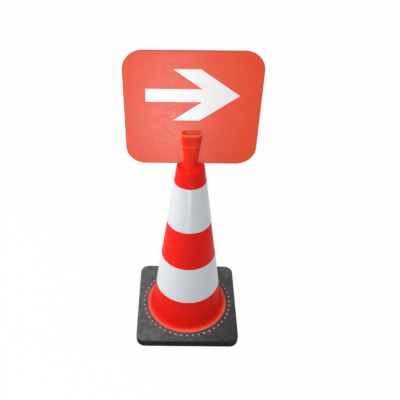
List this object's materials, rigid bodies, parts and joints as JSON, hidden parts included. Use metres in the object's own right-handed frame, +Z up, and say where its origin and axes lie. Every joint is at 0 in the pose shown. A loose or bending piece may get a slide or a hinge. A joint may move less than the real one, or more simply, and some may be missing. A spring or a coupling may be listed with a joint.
{
  "type": "traffic cone sign",
  "caption": "Free-standing traffic cone on a square weighted base, with white reflective sleeves and a slotted head that holds a lift-out panel with a direction arrow.",
  "frame": {"origin": "middle of the base's underside, on the floor, on the cone's axis", "axes": "+Z up along the cone's axis, -Y the way the panel faces, +X the way its arrow points"},
  "size_m": [0.288, 0.272, 0.778],
  "materials": {
    "cone_orange": "satin moulded soft PVC, dyed orange-red",
    "base_rubber": "matt charcoal recycled rubber",
    "plug_orange": "satin soft PVC, dyed orange",
    "sleeve_white": "white retroreflective film",
    "panel_red": "satin rigid PVC sheet, dyed orange-red",
    "arrow_white": "white self-adhesive reflective film"
  },
  "bodies": {
    "cone": {"cone_shell": "cone_orange", "base_plate": "base_rubber", "lock_plugs": "plug_orange", "upper_sleeve": "sleeve_white", "lower_sleeve": "sleeve_white"},
    "sign": {"sign_panel": "panel_red", "arrow_film": "arrow_white"}
  },
  "joints": [
    {"name": "sign_lift", "type": "slide", "parent": "cone", "child": "sign", "axis": [0, 0, 1], "range_m": [0, 0.09]}
  ]
}
